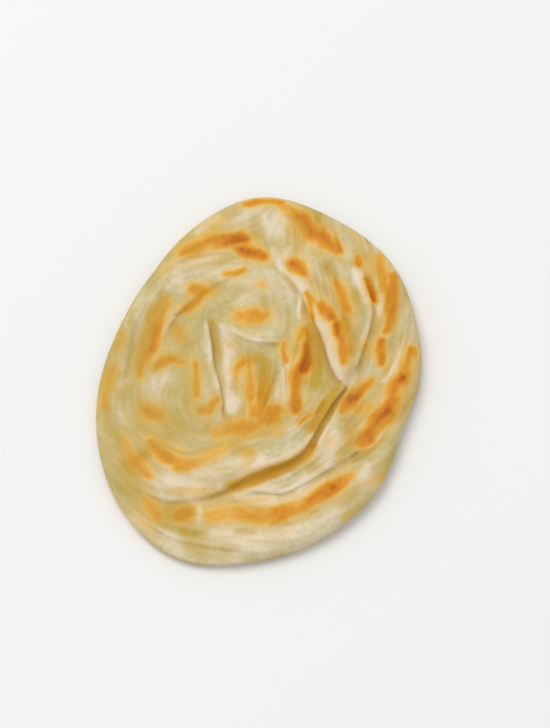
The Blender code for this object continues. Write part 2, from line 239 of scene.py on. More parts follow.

# Browned patches, then the yellower places in the dough, one of them painted shade on the lower right rim,
# then the paler places in the dough, many of them painted highlights on lips and ridges
TOASTS = marks_from(
    (((-11, -54.6), (-4.1, -51.8), (3, -48.6)), 2.3, 0.46, 0.48),
    (((3, -48.6), (9, -46.2)), 1.7, 0.6, 0.6),
    (((9, -45.9), (18, -41.6), (22.3, -39), (25, -34)), 1.7, 0.45, 0.5),
    (((25, -34), (31, -22), (36, -13)), 0.7, 0.2, 0.2),
    (((33, -10), (28, -19), (24, -27)), 1.8, 0.2, 0.36),
    (((-44, 50), (-38.5, 56), (-33.5, 60)), 1.9, 0.22, 0.26),
    (((-34, 60.5), (-26, 63), (-19, 65.5), (-12, 66.5)), 3.9, 0.5, 0.66),
    (((-14, 66.5), (-10, 66.5), (-6.5, 66)), 3.4, 0.66, 1.0),
    (((-8, 61), (-3, 59.5), (2.5, 58)), 2.7, 0.9, 0.95),
    (((-6, 84.5), (1.5, 86), (11, 85)), 2.2, 0.66, 0.54),
    (((10, 83.5), (15, 81), (18.5, 77)), 2.8, 0.4, 0.6),
    (((18.5, 77), (22.5, 72), (28.5, 68)), 3.7, 0.72, 0.78),
    (((27.5, 67.5), (32, 64.5), (36, 61)), 3.6, 0.66, 0.66),
    (((16, 54), (20, 49)), 2.9, 0.85, 0.7),
    (((-15, 49), (-10.5, 49.5), (-6, 52)), 1.8, 0.56, 0.6),
    (((-30, 42.5), (-25.5, 41), (-21.5, 40.5)), 3.0, 0.62, 0.44),
    (((-25, 40), (-28.5, 35.5), (-33, 32)), 2.2, 0.6, 0.62),
    (((-41.5, 35), (-44, 29.5), (-47, 21)), 2.4, 0.48, 0.52),
    (((-47, 23), (-48.5, 13)), 2.3, 0.62, 0.72),
    (((-49, 12.5), (-52, 7.5), (-54, 0.5)), 2.5, 0.44, 0.34),
    (((-62.5, 21), (-64, 13)), 1.8, 0.28, 0.36),
    (((-66, 3.5), (-69, -6.5), (-71, -14.5)), 2.4, 0.38, 0.4),
    (((-46, 4.5), (-41, 8), (-35, 6)), 2.1, 0.52, 0.5),
    (((-38, 23.5), (-35.5, 18.5)), 2.2, 0.36, 0.3),
    (((-28.5, 5.5), (-28, -10)), 2.0, 0.48, 0.44),
    (((-26.5, -17.5), (-23, -17.5), (-18.8, -12.5)), 2.1, 0.4, 0.46),
    (((-50.5, -17), (-46.5, -19.5)), 3.8, 0.48, 0.5),
    (((-48.5, -31.5), (-46, -35.5), (-40, -40)), 3.1, 0.56, 0.6),
    (((-39.5, -40.5), (-31, -42.2), (-23, -40.3), (-14.5, -36.2)), 2.7, 0.52, 0.36),
    (((-6.5, -38), (-4, -37.6)), 1.9, 0.34, 0.34),
    (((-37, -44.6), (-32.5, -45.4)), 2.4, 0.44, 0.36),
    (((-61, -30.5), (-59, -36.5), (-56.5, -42)), 2.3, 0.32, 0.4),
    (((-55, -39.5), (-52.5, -44), (-49, -48)), 2.6, 0.46, 0.44),
    (((-51.5, -58.5), (-48.5, -62), (-45, -66.5)), 2.6, 0.4, 0.46),
    (((-35.6, -66.2), (-32, -65.2)), 3.3, 0.6, 0.62),
    (((-21, -67), (-14, -66.5), (-4, -67.5)), 4.2, 0.38, 0.38),
    (((-17, -62.5), (-8, -63)), 3.0, 0.3, 0.2),
    (((-8, -67), (0, -68), (10.5, -67.5)), 3.9, 0.38, 0.6),
    (((8, -66.5), (16.5, -64.5), (24.5, -61)), 3.0, 0.64, 0.62),
    (((23.5, -61), (29.5, -57), (34, -54)), 2.9, 0.62, 0.88),
    (((34, -54.5), (39, -51), (42.5, -47.5)), 2.8, 0.66, 0.44),
    (((-8.4, 28.6), (-2.4, 28), (3.4, 28.6)), 3.6, 0.42, 0.44),
    (((-6.4, 28.4), (2, 28.4)), 3.2, 0.34, 0.36),
    (((0, 43.5), (2, 43.5)), 2.1, 0.34, 0.34),
    (((-13.5, 14.5), (-12, 14.5)), 1.8, 0.2, 0.2),
    (((-9.9, -2.5), (-9.6, 2), (-8.4, 5)), 2.0, 0.3, 0.52),
    (((-8.4, 5.4), (-4.4, 7.2)), 2.2, 0.5, 0.46),
    (((-4.2, 5), (-3.6, -3), (-3.8, -11.5)), 2.4, 0.46, 0.52),
    (((-3.5, -12), (-2.5, -18)), 2.4, 0.36, 0.44),
    (((2.2, -9), (2, -13.5), (0.8, -20)), 2.2, 0.6, 0.44),
    (((2.5, -2), (3, -8)), 2.6, 0.42, 0.5),
    (((2.5, -22), (6.5, -19), (9, -17.5)), 3.2, 0.62, 0.62),
    (((4.5, -23.5), (8, -22)), 2.8, 0.6, 0.6),
    (((-18.4, -28.8), (-13.5, -26.5), (-8, -26), (0, -25)), 3.6, 0.46, 0.52),
    (((-16, -33), (-7.5, -31.5)), 2.6, 0.3, 0.2),
    (((-4.5, -21.5), (-7, -25)), 2.4, 0.28, 0.25),
    (((22.2, 39), (23.3, 34), (25, 26.5)), 1.2, 0.5, 0.55),
    (((18.8, 17.5), (21, 21), (23.2, 18.5), (22.4, 14)), 2.6, 0.56, 0.56),
    (((21.8, 13), (22, 7), (20.2, 2.6)), 2.7, 0.84, 1.05),
    (((19.7, 4), (17.3, -2), (16.8, -9)), 2.4, 0.88, 0.54),
    (((16.8, -11), (17.3, -17.5)), 2.4, 0.7, 0.84),
    (((12, 15.5), (11, 12), (12.5, 7)), 1.5, 0.55, 0.5),
    (((18.9, -24.2), (23.2, -19.7)), 1.3, 0.62, 0.5),
    (((26.7, -19.7), (30, -14)), 1.4, 0.46, 0.5),
    (((35, 45), (38.2, 39), (40.5, 31.5)), 2.5, 0.54, 0.62),
    (((21.8, 38.5), (25.5, 34.5)), 1.5, 0.38, 0.32),
    (((29.4, 32.4), (32.8, 27)), 2.6, 0.72, 0.94),
    (((35.9, 22.6), (37.6, 15.5), (38.7, 10), (39.2, 6)), 2.4, 0.96, 0.5),
    (((39.6, 26.5), (40.8, 21)), 2.0, 0.36, 0.34),
    (((41.4, 13), (41.8, 9.5)), 1.7, 0.42, 0.4),
    (((45.5, 58), (46.5, 53.5)), 1.6, 0.66, 0.85),
    (((49.6, 46.9), (51.4, 42), (53, 36)), 1.6, 0.55, 1.1),
    (((55.5, 58.5), (56.8, 51), (58, 42)), 2.5, 0.52, 0.5),
    (((62.2, 48), (61.3, 37.8), (59.9, 28), (58.4, 20.3)), 2.3, 0.64, 0.84),
    (((56.3, 15.4), (55.5, 11), (55.9, 5.6)), 2.2, 0.95, 0.6),
    (((52, -2.5), (47, -7), (42.5, -11)), 2.1, 0.6, 0.8),
    (((43, -11), (38.5, -17.5)), 2.2, 0.9, 0.6),
    (((51, -14), (45.5, -17)), 2.5, 0.34, 0.38),
    (((70, 11), (67.5, 3.5), (65.5, -3)), 2.9, 0.58, 0.5),
    (((65.5, -2.5), (62, -8), (60.5, -14), (58.5, -18.5)), 3.1, 0.76, 0.86),
    (((58.5, -18.5), (54, -23), (49.5, -28.5)), 3.4, 1.02, 0.68),
    (((49.5, -29), (47, -32.5)), 3.5, 0.78, 0.66),
)

YELLOWS_AND_SHADE = marks_from(
    (((-49.5, 22.5), (-56.5, -2), (-54.5, -26)), 7.0, 0.35, 0.35),
    (((-65.5, -31), (-54.5, -55.5), (-43, -67.5)), 6.0, 0.45, 0.4),
    (((23.5, 13), (27.5, -6.5), (21.5, -21.5)), 6.0, 0.45, 0.4),
    (((-20, -21.5), (1, -26), (19, -16.5)), 6.0, 0.4, 0.4),
    (((46.5, -4), (42, -26), (49, -38.5)), 6.0, 0.4, 0.35),
    (((-33.5, 13), (-31.5, -11.5), (-24.5, -26)), 6.0, 0.3, 0.3),
    (((-31.5, 61.5), (-8.5, 64)), 6.0, 0.3, 0.3),
    (((30, 42), (38.5, 29), (41.5, 14)), 3.4, 0.5, 0.4),
    (((-1, 75.5), (-0.5, 68)), 3.4, 0.6, 0.5),
    (((-15, 79), (-12, 79.5)), 3.0, 0.3, 0.3),
    (((21.5, 81), (30.5, 72.5)), 3.4, 0.3, 0.5),
    (((-20.5, 43), (-8.5, 41.5)), 3.0, 0.6, 0.5),
    (((-44, 37), (-49.5, 22), (-54, 2)), 3.6, 0.8, 0.8),
    (((-42.5, -6), (-37.5, -7.5)), 3.2, 0.4, 0.4),
    (((-51.5, -16.5), (-45.5, -19.5)), 4.2, 0.8, 0.8),
    (((-47, 3.5), (-41, 8), (-34, 6)), 2.6, 0.7, 0.7),
    (((-38.5, 24), (-35, 18)), 2.6, 0.7, 0.6),
    (((-62.5, 21), (-66, 3), (-71, -15)), 3.0, 0.6, 0.6),
    (((-33, 32), (-25, 40.5), (-20, 40)), 2.8, 0.7, 0.4),
    (((1.5, -23), (9.5, -18)), 3.6, 0.4, 0.4),
    (((-33, 14.5), (-29.5, 15)), 2.4, 0.5, 0.5),
    (((-61.5, -9.5), (-62, -13)), 2.2, 0.4, 0.4),
    (((-33, -13), (-33.5, -17.5)), 2.5, 0.35, 0.35),
    (((-60, 40), (-68, 20), (-72, 0), (-71, -18)), 4.5, 0.35, 0.35),
    (((-70, -17), (-67.5, -25.5), (-63.5, -30.5)), 3.0, 0.5, 0.5),
    (((-60, -41.5), (-53.5, -47.5)), 3.2, 0.7, 0.5),
    (((-20.8, 25.5), (-19, 15), (-18.3, 6)), 2.0, 0.8, 0.6),
    (((-18.3, 6), (-15.5, -6)), 1.5, 0.5, 0.3),
    (((-14, -53.5), (-4, -51.8), (6.9, -47), (18, -41.6), (24.5, -34.5)), 2.6, 0.9, 0.9),
    (((25, -34), (31, -22), (36, -13)), 1.2, 0.8, 0.4),
    (((35, -8), (30, -17.5), (25, -27)), 3.4, 1.0, 1.0),
    # Painted shade on the lower right rim
    (((42, -63), (53, -51), (61, -40)), 5.0, 0.5, 0.5),
    (((31.5, 52), (35, 47.5)), 2.6, 0.7, 0.6),
    (((3, 6), (3.2, -3), (2.8, -12)), 3.0, 0.8, 0.9),
    (((-6, 8.5), (-2, 8)), 2.4, 0.6, 0.7),
    (((-28.5, 5), (-28, -9.5)), 1.9, 0.6, 0.6),
    (((-26, -17.5), (-19, -13)), 1.9, 0.6, 0.6),
    (((23.8, 23), (26.6, 14), (27.6, 6), (26.4, -4)), 3.0, 0.9, 0.95),
    (((24.5, -3.5), (29, -8.5), (24.5, -14.5)), 4.0, 0.5, 0.5),
    (((0, 9), (4.5, -2)), 2.6, 0.4, 0.7),
    (((4.5, -23.5), (-1.5, -26.5)), 3.4, 0.4, 0.4),
    (((32, 51.5), (35.5, 44.5)), 3.0, 0.5, 0.4),
    (((39.4, 27.5), (41.4, 20), (42.4, 9.5)), 2.4, 0.8, 0.6),
    (((52.5, 55.5), (56, 36.5)), 3.0, 0.4, 0.4),
    (((49, 14), (47.5, 10.5)), 2.0, 0.5, 0.5),
    (((40, -23.5), (41.5, -32.5), (37, -37.5)), 4.2, 0.7, 0.5),
    (((21, -41.5), (27, -45)), 3.0, 0.4, 0.4),
    (((-36, -45.5), (-30.5, -46.5)), 2.2, 0.4, 0.4),
    (((-44, -67), (-39.5, -62.5)), 2.6, 0.5, 0.5),
    (((-38, -67), (-32, -65)), 4.0, 0.8, 0.8),
    (((-52, -38), (-46.5, -33.5), (-40, -40)), 3.4, 0.8, 0.6),
    (((-30.5, -80), (-15, -84)), 4.5, 0.5, 0.5),
    (((-11.5, -34.5), (-3.5, -38)), 3.0, 0.5, 0.5),
)

# Paler dough, and painted highlights on the lips and ridges
PALES_AND_HIGHLIGHTS = marks_from(
    (((-10.5, 75), (19, 73.5), (40, 64)), 7.0, 0.45, 0.45),
    (((-10.5, 49.5), (14.5, 42)), 8.0, 0.5, 0.5),
    (((17, 55.5), (33, 37), (40, 17.5)), 6.0, 0.35, 0.3),
    (((58, 49), (68.5, 22.5), (69.5, -2), (62.5, -26)), 6.0, 0.4, 0.4),
    (((-49.5, -48), (-26.5, -56.5), (-1.5, -49.5), (19, -38.5), (33, -26)), 5.5, 0.45, 0.3),
    (((-31.5, -83.5), (1, -82), (33, -70), (53.5, -50.5)), 6.0, 0.5, 0.55),
    (((-54, -70), (-31, -87), (-8.5, -90)), 5.0, 0.4, 0.4),
    (((-15.5, 17.5), (-10.5, -11.5)), 5.0, 0.35, 0.35),
    (((-28, 71), (-23.5, 74), (-18, 78)), 2.0, 0.6, 0.6),
    (((-8.5, 81), (1.5, 78.5), (4.5, 73)), 3.4, 0.4, 0.6),
    (((10, 77), (14.5, 72), (16, 65.5)), 1.8, 0.6, 0.6),
    (((6.5, 61), (9.5, 55), (11, 52)), 2.6, 0.6, 0.85),
    (((10.5, 55), (14.5, 62)), 1.9, 0.8, 0.6),
    (((11.5, 50.5), (17.5, 44)), 1.5, 0.9, 0.7),
    (((-37, 54.5), (-29, 56.5), (-20, 57)), 3.0, 0.4, 0.6),
    (((-37, 49.5), (-34, 41)), 2.6, 0.5, 0.4),
    (((-52, 43.5), (-56, 34.5)), 2.2, 0.4, 0.4),
    (((-62.5, 13.5), (-62, 4)), 1.9, 0.3, 0.3),
    (((-64.5, -4.5), (-60.5, -2.5)), 2.0, 0.5, 0.4),
    (((-24, 24), (-23, 14), (-21, 3), (-18.5, -6.5)), 1.6, 0.5, 0.5),
    (((-15.5, 22), (-14.6, 11)), 2.6, 0.5, 0.6),
    (((-13.6, 12), (-13.4, 4), (-12.8, -6), (-11.6, -17)), 2.8, 0.9, 1.1),
    (((-23, -21), (-18, -22)), 2.6, 0.5, 0.6),
    (((-4.5, 19.5), (1.5, 20), (8, 22.5)), 3.0, 0.25, 0.35),
    (((8, 28.5), (8.5, 23.5)), 2.6, 0.4, 0.4),
    (((19.1, 41), (19.1, 35.2), (18.6, 28)), 1.1, 1.2, 1.1),
    (((-7.5, 35.5), (-2, 36.5)), 3.0, 0.4, 0.4),
    (((14, 6.5), (12.5, -5), (11.5, -13)), 1.5, 0.6, 0.5),
    (((15.5, 47.8), (19.8, 42)), 1.3, 0.8, 0.6),
    (((25.4, 30), (29.2, 23), (32.2, 16), (34.2, 9.5)), 2.1, 1.1, 1.4),
    (((34.2, 9.5), (36.2, 3.5), (38, -0.8), (40.6, -3.4)), 2.1, 1.4, 1.3),
    (((45, 50.5), (46.8, 44.6), (48.8, 36.4)), 1.9, 1.4, 1.1),
    (((54.6, 46), (55.4, 37), (56, 29.5)), 1.6, 1.3, 1.2),
    (((52, 66), (56, 61)), 1.6, 0.7, 0.5),
    (((40.5, 0.5), (42, -4)), 2.6, 0.9, 0.8),
    (((64.5, 14.5), (61.5, 3), (57, -3)), 1.3, 0.7, 0.9),
    (((57.5, -10.5), (55.5, -17), (49, -22)), 1.2, 0.5, 0.5),
    (((40.6, -9.4), (37, -15.5), (31, -26.2), (26.8, -34.6)), 1.0, 1.1, 1.1),
    (((34.5, -28.5), (33.5, -33)), 2.8, 0.9, 0.8),
    (((29, -34.5), (24.5, -40.5)), 1.6, 0.5, 0.4),
    (((32.5, -37.5), (29, -42)), 3.0, 0.5, 0.4),
    (((49, -44.5), (47.5, -52.5)), 2.8, 0.7, 0.7),
    (((53.5, -43), (58, -36)), 3.0, 0.5, 0.4),
    (((-28, -45), (-22.5, -47.5), (-18, -52)), 3.4, 0.9, 0.6),
    (((-34.5, -52), (-26, -54.5)), 2.4, 0.7, 0.6),
    (((-2, -46.5), (2, -41.5)), 2.2, 0.9, 0.8),
    (((-12, -42.5), (-5.5, -43.5)), 3.0, 0.4, 0.4),
    (((-9.5, -57.8), (-1, -59.3), (6.5, -59.8)), 2.2, 0.8, 1.1),
    (((-6.5, -55.5), (-0.7, -53.8), (8.8, -50), (14, -48)), 1.3, 1.0, 0.9),
    (((21.5, -48.5), (19, -54.5)), 2.4, 0.7, 0.6),
    (((11, -61.5), (20.5, -57), (29.5, -51)), 1.4, 0.5, 0.6),
    (((-26, -69.5), (-20.5, -75), (-9, -78)), 3.4, 0.5, 0.5),
    (((2, -79), (19, -76), (31.5, -69)), 4.4, 0.5, 0.5),
    (((-8, -86), (2, -84.5)), 2.0, 0.4, 0.4),
    (((-31, -27), (-26.5, -31)), 4.0, 0.3, 0.4),
    (((-26.5, -62.5), (-26.5, -69.5)), 1.6, 0.9, 0.9),
    (((-40, -50), (-30, -54.5), (-16, -53)), 4.5, 0.8, 0.8),
    (((-20, -75), (2, -76.5), (22, -71.5)), 3.6, 0.7, 0.7),
)

# How each kind of mark looks: how far its middle and its halo reach, in half widths, and the halo's share.
# Then the faint patches of the same kind all over the bread: width and reach in millimetres, where they
# start, and their strength
MARK_LOOKS = {
    "toast": (1.8, 3.9, 0.36, ((5.0, 7.0, 0.3, 0.2), (2.2, 3.0, 0.7, 0.25))),
    "yellow": (2.0, 2.6, 0.5, ((9.0, 13.0, 0.1, 0.4), (3.4, 5.0, 0.2, 0.4))),
    "pale": (1.9, 2.5, 0.5, ((5.5, 13.0, 0.1, 0.4), (2.0, 6.0, 0.3, 0.35))),
}

# The marks' ragged edges, by amount, width and reach, and how far past its halo one may carry a mark. Then
# how uneven the marks are, how much they taper, and how much of the weaker adds to the stronger of two
RAGGED = ((0.26, 4.5, 4.5), (0.16, 1.8, 2.5))
RAGGED_REACH = 0.8
UNEVEN = 0.25
TAPER = 0.2
OVERLAP = 0.25

# The way the dough runs, read off the folds on a coarse grid, in millimetres, and noise drawn out along it
FLOW_REACH = 104
FLOW_STEP = 4
FLOW_NEAR = 5.0
FLOW_FALL = 1.5
STREAK_STEPS = 10
CELLS = 256

# The noise's seeds: the first, for the relief, then those of the colour's streaks, of the underside and of
# the marks, with so many to each kind of mark, and its patches after its ragged edges
SEED = 7
COLOUR_SEED = SEED + 10
UNDER_SEED = SEED + 20
MARK_SEED = SEED + 30
SEEDS_TO_A_KIND = 10
PATCH_SEED = 5

# Fine relief, in millimetres: streaks along the folds, by height, width and reach, even bumps, by height
# and length, and the calm places, by place and reach, with so much less of both
STREAKS = ((0.19, 1.3, 9.0), (0.26, 2.8, 16.0))
BUMPS = ((0.17, 6.5), (0.1, 2.4))
CALM_PLACES = ((-40, -14, 24), (-2, 38, 14), (-40, 12, 14))
CALM = 0.7

# Streaks in the colour, by width and reach, in millimetres
COLOUR_STREAK = (1.9, 12.0)

# Grooves round the side, where the edges of stacked layers show: middle height, wave and depth, in
# millimetres. Then half their width, the waves' shares, turns and shifts, and how the grooves come and go
SIDE_GROOVES = ((6.6, 0.7, 0.5), (5.2, 1.1, 0.9), (2.6, 0.6, 0.6))
SIDE_GROOVE_HALF = 0.7
SIDE_WAVES = ((1.0, 2, 1.3), (0.5, 5, 2.1))
GROOVE_SHARE = 0.65
GROOVE_CHANGE = 0.5
GROOVE_NOISE = 4.5
GROOVE_SLICE = 5.0

# The underside's coil: a shallow spiral groove outside a flat middle, in millimetres
COIL_START = 24.0
COIL_TURNS = 2.4
COIL_END = 66.0
COIL_DEPTH = 0.9
COIL_HALF = 2.4
COIL_STEPS = 90
COIL_ENDS = (0.1, 0.2)

# The underside's colour: its patches, by width and reach in millimetres and strength, then for each colour
# where it starts in them, how far it takes to come in, and its strength
UNDER_PATCHES = ((11.0, 22.0, 1.0), (4.0, 6.0, 0.4))
UNDER_LOOKS = {"toast": (0.05, 0.8, 0.9), "yellow": (-0.4, 0.6, 0.6), "pale": (0.0, -0.8, 0.4)}

# The dough's mottling, patches and fine grain, by length in metres, detail and roughness, and the range
# that most of such noise lies in
MOTTLE = (0.0024, 4.0, 0.6)
PATCHY = (0.016, 3.0)
FINE = (0.0011, 3.0, 0.65)
NOISE_RANGE = (0.3, 0.7)

# How much the marks and the noise make the dough paler, with painted highlights from the lips and the pale
# marks, then how much they make it yellower
PALER_AND_HIGHLIGHTED = {"lip": 0.6, "pale": 0.95, "streak": 0.14}
PATCHY_PALER = (0.4, 0.7, 0.0, 0.2)
FINE_PALER = (-0.12, 0.16)
MOTTLE_PALER = (-0.16, 0.22)
YELLOWER = {"streak": -0.06, "pale": -0.25}
PATCHY_YELLOWER = (0.6, 0.35, 0.0, 0.2)
MOTTLE_YELLOWER = (0.7, 1.5)

# Where the creases' painted shade starts and how strong it gets, and how much of it the pale places take
# away
CREASE_SHADE_SHOWN = (0.1, 1.0, 0.0, 0.85)
CREASE_SHADE_CLEARED = {"pale": -0.5}

# The toasting: how mottling and streaks change it, where its colours stand, where ochre takes over from
# them, and how soon toasting covers the dough
MOTTLE_TOAST = (0.25, 0.75, 0.95, 1.27)
STREAK_TOAST = 0.08
TOAST_REACH = 0.88
TOAST_STOPS = (0.26, 0.53, 0.79, 1.0)
OCHRE_SHOWN = (0.1, 1.0, 0.0, 0.85)
TOAST_SHOWN = (0.0, 0.42)

# The dough's sheen, the light that passes under its surface, by share, colour and depth in metres, and its
# bumps too fine for the mesh, in metres
PATCHY_ROUGHER = (-0.06, 0.08)
FINE_ROUGHER = (-0.05, 0.05)
SHINE = 0.13
OIL_ROUGHNESS = 0.32
UNDER_LIGHT = 0.25
UNDER_LIGHT_COLOUR = (1.0, 0.5, 0.2)
UNDER_LIGHT_DEPTH = 0.002
MOTTLE_BUMP = 1.4
BUMP_STRENGTH = 0.4
BUMP_DEPTH = 0.0004

# The floor's finish and the key light, in metres
FLOOR_ROUGHNESS = 0.85
FLOOR_CHANGE = 0.03
FLOOR_GRAIN = 0.02
KEY_PLACE = (-0.6, 0.7, 2.2)
KEY_SIZE = 1.5
KEY_COLOUR = (1.0, 0.98, 0.95)
WHITE = (1.0, 1.0, 1.0, 1.0)

# The photograph's frame and the camera: the place of the bread's origin in the frame, the pixels to a
# metre, the sensor's width in millimetres, and the nearest distance drawn, in metres
FRAME_WIDTH = 550
FRAME_HEIGHT = 728
ORIGIN_PIXEL = (259.0, 381.9)
PIXELS_PER_METRE = 2160.0
SENSOR = 36.0
CLIP_START = 0.01


def smooth(share):
    """An S-shaped ramp from 0 to 1 as the share goes from 0 to 1."""
    held = np.clip(share, 0.0, 1.0)
    return held * held * (3.0 - 2.0 * held)


def spline(before, here, after, beyond, share):
    """The point at a share of the way from here to after, on a smooth curve through all four."""
    bend = 2 * before - 5 * here + 4 * after - beyond
    twist = 3 * (here - after) + beyond - before
    return here + 0.5 * share * (after - before + share * (bend + share * twist))


def round_table(values, angle):
    """A table of evenly spaced values round the bread, read at each angle along a smooth closed curve."""
    values = np.asarray(values, float)
    place = (angle / math.tau) % 1.0 * len(values)
    first = np.floor(place).astype(int)
    return spline(*(values[(first + k) % len(values)] for k in (-1, 0, 1, 2)), place - first)


def curve_through(points):
    """Points about every CURVE_STEP along a smooth curve through the given ones."""
    p = np.asarray(points, float)
    p = np.vstack([2 * p[0] - p[1], p, 2 * p[-1] - p[-2]])
    spans = []
    for corners in zip(p[:-3], p[1:-2], p[2:-1], p[3:]):
        steps = max(2, math.ceil(np.linalg.norm(corners[2] - corners[1]) / CURVE_STEP))
        spans.append(spline(*corners, np.linspace(0, 1, steps, endpoint=False)[:, None]))
    return np.vstack([*spans, p[-2:-1]])


def beside(curve, at, within):
    """Which points lie within that distance of the curve, and for each of them its distance from it,
    positive on the left, its share of the way along it, and the direction to the left there."""
    low, high = curve.min(0) - within, curve.max(0) + within
    near = np.flatnonzero(((at > low) & (at < high)).all(1))
    along = np.gradient(curve, axis=0)
    along /= np.linalg.norm(along, axis=1)[:, None]
    left = np.column_stack([-along[:, 1], along[:, 0]])
    best = np.full(len(near), np.inf)
    offset = np.zeros(len(near))
    place = np.zeros(len(near))
    toward = np.zeros((len(near), 2))
    for i in range(len(curve) - 1):
        span = curve[i + 1] - curve[i]
        share = np.clip((at[near] - curve[i]) @ span / (span @ span), 0, 1)
        away = at[near] - curve[i] - share[:, None] * span
        distance = np.linalg.norm(away, axis=1)
        closer = distance < best
        best[closer] = distance[closer]
        side = left[i] * (1 - share[closer, None]) + left[i + 1] * share[closer, None]
        toward[closer] = side
        offset[closer] = np.copysign(distance[closer], (away[closer] * side).sum(1))
        place[closer] = (i + share[closer]) / (len(curve) - 1)
    kept = best < within
    return near[kept], offset[kept], place[kept], toward[kept]


def fading(place, ends):
    """1 along a path, easing to 0 over a share of it at each end."""
    return smooth(place / ends[0]) * smooth((1 - place) / ends[1])


def noise_at(spots):
    """Smooth noise, about -1 to 1, at each spot."""
    return np.array([noise.noise(Vector(spot)) for spot in spots])


class Relief:
    """What the folds do to each point: how far it moves, and how far it is on a lip or in a crease."""

    def __init__(self, count):
        self.shift = np.zeros((count, 3))
        # lip: where a painted highlight goes; crease: where painted shade goes
        self.lip = np.zeros(count)
        self.crease = np.zeros(count)

    def add_fold(self, fold, at, height):
        """Raises the upper layer along its edge and rolls that edge out over the layer below."""
        near, offset, place, toward = beside(curve_through(fold.path), at, fold.reach + 2 * fold.roll)
        size = fading(place, fold.ends)
        turn = np.clip((offset + fold.roll) / (2 * fold.roll), 0, 1)
        climb = smooth((turn - FLAT_SHARE) / (1 - 2 * FLAT_SHARE))
        climb *= 1 - smooth((offset - fold.roll) / fold.reach)
        rolls = offset / fold.roll
        dip = DIP * np.exp(-((rolls + 1) ** 2))
        self.shift[near, 2] += height * size * fold.rise * (climb - dip)
        self.shift[near, :2] += (size * fold.lip * np.sin(math.tau * turn))[:, None] * toward
        deep = min(fold.rise / FULL_RISE, 1)
        # The lip gets a painted highlight, and the crease in front of it painted shade
        self.lip[near] += size * deep**0.5 * np.exp(-((rolls - LIP_HIGHLIGHT_PLACE) ** 2) * LIP_HIGHLIGHT_NARROW)
        self.crease[near] += size * deep * np.exp(-((rolls - CREASE_SHADE_PLACE) ** 2) * CREASE_SHADE_NARROW)

    def add_pleat(self, pleat, at, height):
        """Raises a rounded roll along its path, or sinks a crease."""
        near, offset, place, _ = beside(curve_through(pleat.path), at, pleat.half_width)
        round_top = fading(place, pleat.ends) * (1 - (offset / pleat.half_width) ** 2) ** 2
        self.shift[near, 2] += height * pleat.height * round_top
        # A roll gets a painted highlight, a sunken pleat painted shade
        shown = self.lip if pleat.height > 0 else self.crease
        shown[near] += PLEAT_SHOWN * min(abs(pleat.height), FULL_RISE) * round_top

    def add_puff(self, puff, at):
        """Raises a soft oval."""
        angle = math.radians(puff.turn)
        x, y = at[:, 0] - puff.x, at[:, 1] - puff.y
        far = ((x * math.cos(angle) + y * math.sin(angle)) / puff.half_length) ** 2
        far += ((y * math.cos(angle) - x * math.sin(angle)) / puff.half_width) ** 2
        self.shift[:, 2] += puff.height * np.exp(-far)


def read_grid(grid, place):
    """A grid's values, read smoothly at places counted in its cells and wrapping round at its edges."""
    first = np.floor(place).astype(int)
    share = smooth(place - first)
    rows = [(first[:, 0] + k) % len(grid) for k in (0, 1)]
    columns = [(first[:, 1] + k) % len(grid) for k in (0, 1)]
    across, up = (share[:, k].reshape((-1,) + (1,) * (grid.ndim - 2)) for k in (0, 1))
    near = grid[rows[0], columns[0]] * (1 - across) + grid[rows[1], columns[0]] * across
    far = grid[rows[0], columns[1]] * (1 - across) + grid[rows[1], columns[1]] * across
    return near * (1 - up) + far * up


class Flow:
    """The way the dough runs at each place: along the folds near it."""

    def __init__(self, paths):
        curves = [curve_through(path) for path in paths]
        along = np.vstack([np.gradient(curve, axis=0) for curve in curves])
        spots = np.vstack(curves)
        length = np.linalg.norm(along, axis=1)
        twice = 2 * np.arctan2(along[:, 1], along[:, 0])
        line = np.arange(-FLOW_REACH, FLOW_REACH + 1, FLOW_STEP)
        cells = np.stack(np.meshgrid(line, line, indexing="ij"), axis=2)
        away = np.linalg.norm(cells[:, :, None, :] - spots, axis=3)
        weight = length / (away**2 + FLOW_NEAR**2) ** FLOW_FALL
        self.table = np.stack([weight @ np.cos(twice), weight @ np.sin(twice)], axis=2)

    def heading(self, at):
        """The direction along the dough at each place, with no sense of forwards or back."""
        twice = read_grid(self.table, (at + FLOW_REACH) / FLOW_STEP)
        angle = np.arctan2(twice[:, 1], twice[:, 0]) / 2
        return np.column_stack([np.cos(angle), np.sin(angle)])

    def drawn_out(self, at, width, reach, seed):
        """Seeded noise of that width, drawn out along the dough's own way, about -1 to 1."""
        cells = np.random.default_rng(seed).standard_normal((CELLS, CELLS))
        total = read_grid(cells, at / width)
        for sense in (1, -1):
            spots = at.copy()
            before = sense * self.heading(at)
            for _ in range(STREAK_STEPS):
                heading = self.heading(spots)
                heading *= np.where((heading * before).sum(1) < 0, -1, 1)[:, None]
                spots = spots + heading * reach / STREAK_STEPS
                total += read_grid(cells, spots / width)
                before = heading
        return total / (2 * total.std())


def soft_wave(at):
    """The slow unevenness of hand-flattened dough."""
    spots = at / SOFT_WAVE_LENGTH
    return SOFT_WAVE * noise_at(np.column_stack([spots, np.full(len(at), SOFT_WAVE_SLICE)]))


def fine_relief(at, flow):
    """Streaks along the folds and small bumps, less of both in the calm places."""
    height = np.zeros(len(at))
    for k, (rise, width, reach) in enumerate(STREAKS):
        height += rise * flow.drawn_out(at, width, reach, SEED + k)
    for rise, length in BUMPS:
        height += rise * noise_at(np.column_stack([at / length, np.full(len(at), length)]))
    for x, y, reach in CALM_PLACES:
        away = ((at - (x, y)) ** 2).sum(1)
        height *= 1 - CALM * np.exp(-away / reach**2)
    return height


